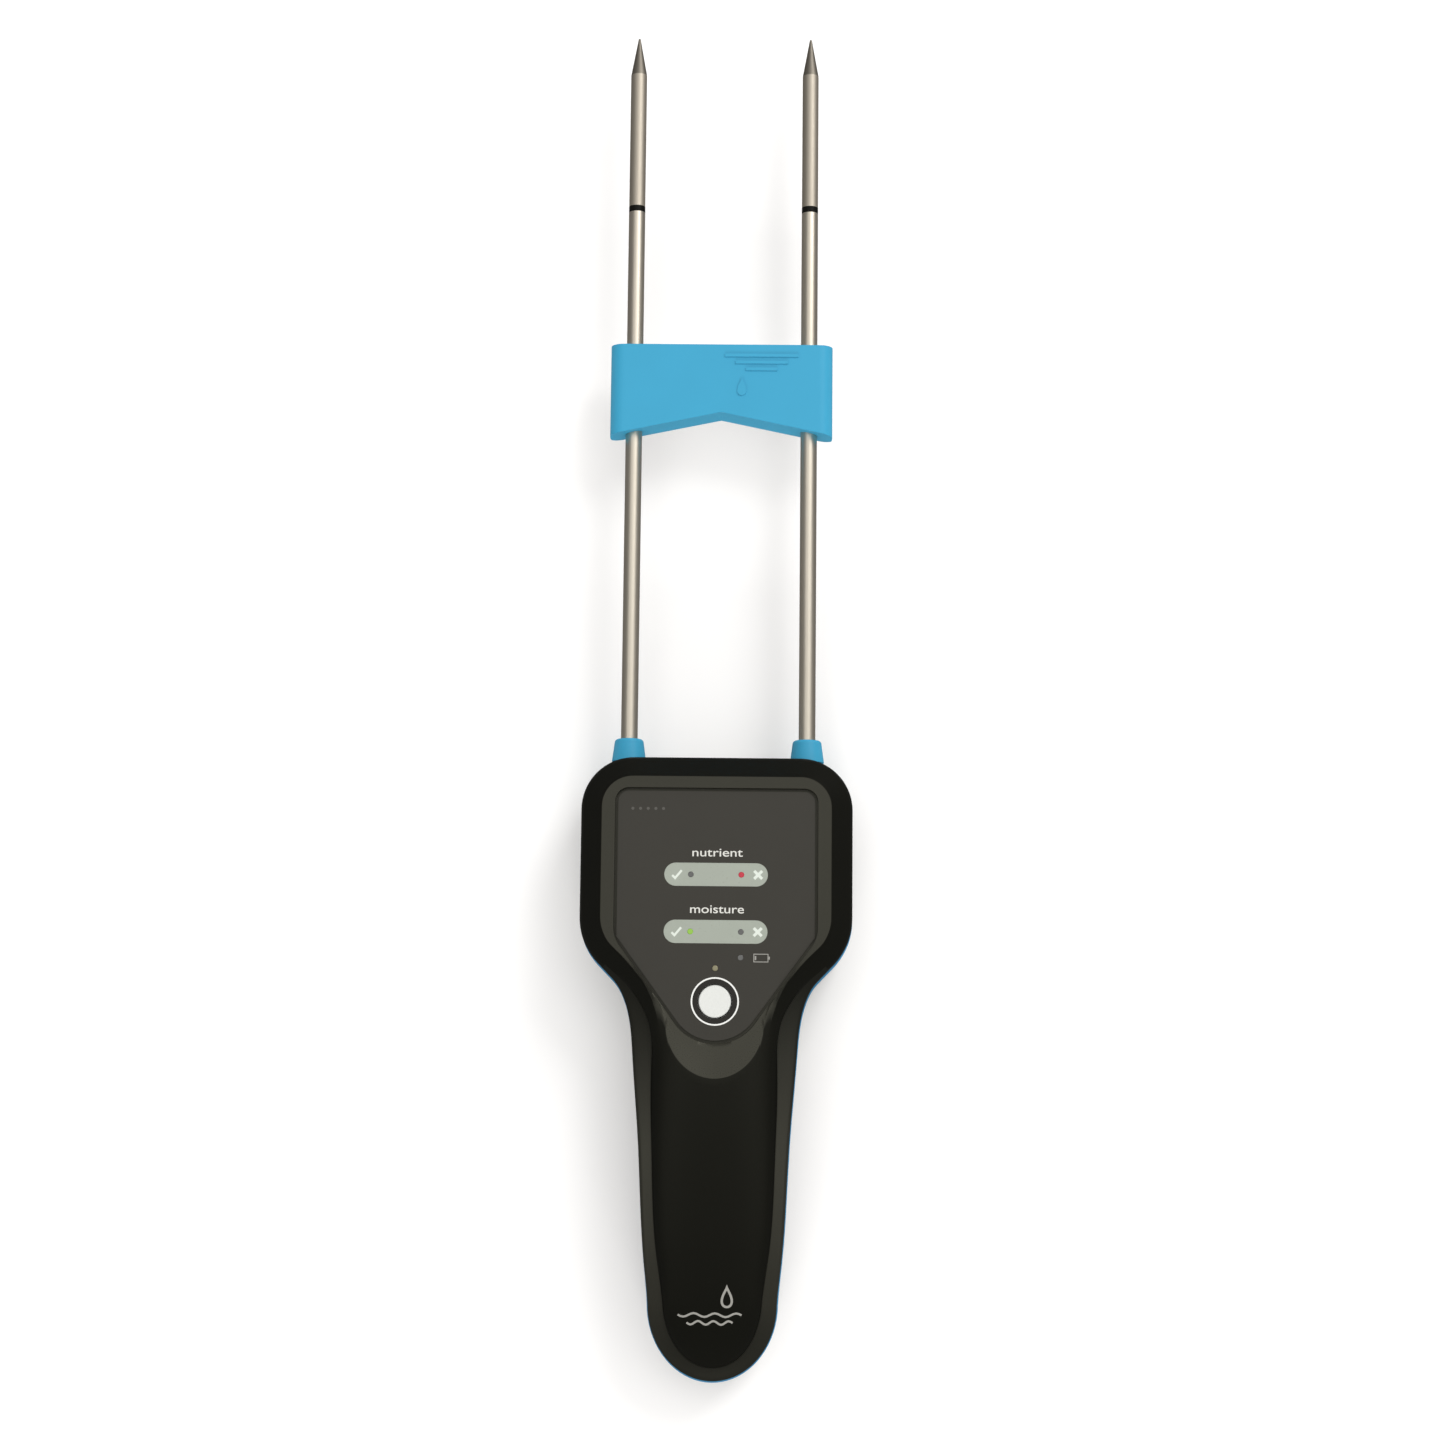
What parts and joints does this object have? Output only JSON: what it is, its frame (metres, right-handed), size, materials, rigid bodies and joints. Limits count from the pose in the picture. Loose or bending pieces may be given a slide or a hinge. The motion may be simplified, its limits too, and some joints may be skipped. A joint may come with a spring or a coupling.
{
  "type": "soil moisture sensor",
  "caption": "Hand-held soil moisture sensor with a tapered grip, an indicator face with a push button, long steel probes with insulated tips and a sliding probe guide.",
  "frame": {"origin": "centre of the whole object's footprint, on the plane of the flat back it lies on", "axes": "+Y from the handle's end to the probe tips, +Z out of the indicator face, +X to the right when looking at the face with the probes up"},
  "size_m": [0.0758, 0.3828, 0.0339],
  "materials": {
    "housing_black": "fine satin grain",
    "housing_blue": "satin",
    "overlay_grey": "satin printed film",
    "window_smoke": "frosted diffuser",
    "led_red": "lit lens",
    "led_green": "lit lens",
    "led_clear": "unlit lens",
    "led_amber": "unlit lens",
    "button_white": "satin",
    "plastic_natural": "moulded",
    "plastic_black": "moulded",
    "trim_blue": "satin",
    "seal_rubber": "moulded",
    "probe_steel": "drawn and ground",
    "screw_steel": "zinc plated",
    "contact_nickel": "nickel plated",
    "insert_brass": "turned",
    "wire_copper": "enamelled",
    "board_green": "solder mask",
    "cell_wrap": "printed sleeve",
    "wire_red": "insulated",
    "wire_black": "insulated"
  },
  "bodies": {
    "instrument": {"back_housing": "housing_blue", "battery_door": "housing_blue", "battery_lead_black": "wire_black", "battery_lead_red": "wire_red", "battery_led": "led_clear", "block_screws": "screw_steel", "bridge_contact": "contact_nickel", "case_screws": "screw_steel", "door_insert": "insert_brass", "door_screw": "screw_steel", "door_seal": "seal_rubber", "face_overlay": "overlay_grey", "front_housing": "housing_black", "housing_seal": "seal_rubber", "left_battery_cell": "cell_wrap", "left_collar": "trim_blue", "left_core_wire": "wire_copper", "left_insulator": "plastic_black", "left_o_ring": "seal_rubber", "left_probe_shaft": "probe_steel", "left_shaft_lead": "wire_black", "left_tip_electrode": "probe_steel", "main_pcb": "board_green", "microcontroller": "plastic_black", "moisture_fail_led": "led_clear", "moisture_pass_led": "led_green", "moisture_window": "window_smoke", "negative_contact": "contact_nickel", "nutrient_fail_led": "led_red", "nutrient_pass_led": "led_clear", "nutrient_window": "window_smoke", "pcb_screws": "screw_steel", "positive_contact": "contact_nickel", "power_led": "led_amber", "power_switch": "plastic_black", "probe_block": "plastic_natural", "radio_module": "contact_nickel", "right_battery_cell": "cell_wrap", "right_collar": "trim_blue", "right_core_wire": "wire_copper", "right_insulator": "plastic_black", "right_o_ring": "seal_rubber", "right_probe_shaft": "probe_steel", "right_shaft_lead": "wire_black", "right_tip_electrode": "probe_steel", "temperature_sensor": "plastic_black"},
    "button": {"power_button": "button_white", "switch_plunger": "plastic_black"},
    "guide": {"probe_guide": "trim_blue"}
  },
  "joints": [
    {"name": "button_press", "type": "slide", "parent": "instrument", "child": "button", "axis": [0, 0, -1], "range_m": [0, 0.0005], "stiffness_N_per_m": 1500, "springref_m": -0.0004},
    {"name": "guide_slide", "type": "slide", "parent": "instrument", "child": "guide", "axis": [0, 1, 0], "range_m": [-0.086, 0.088]}
  ]
}
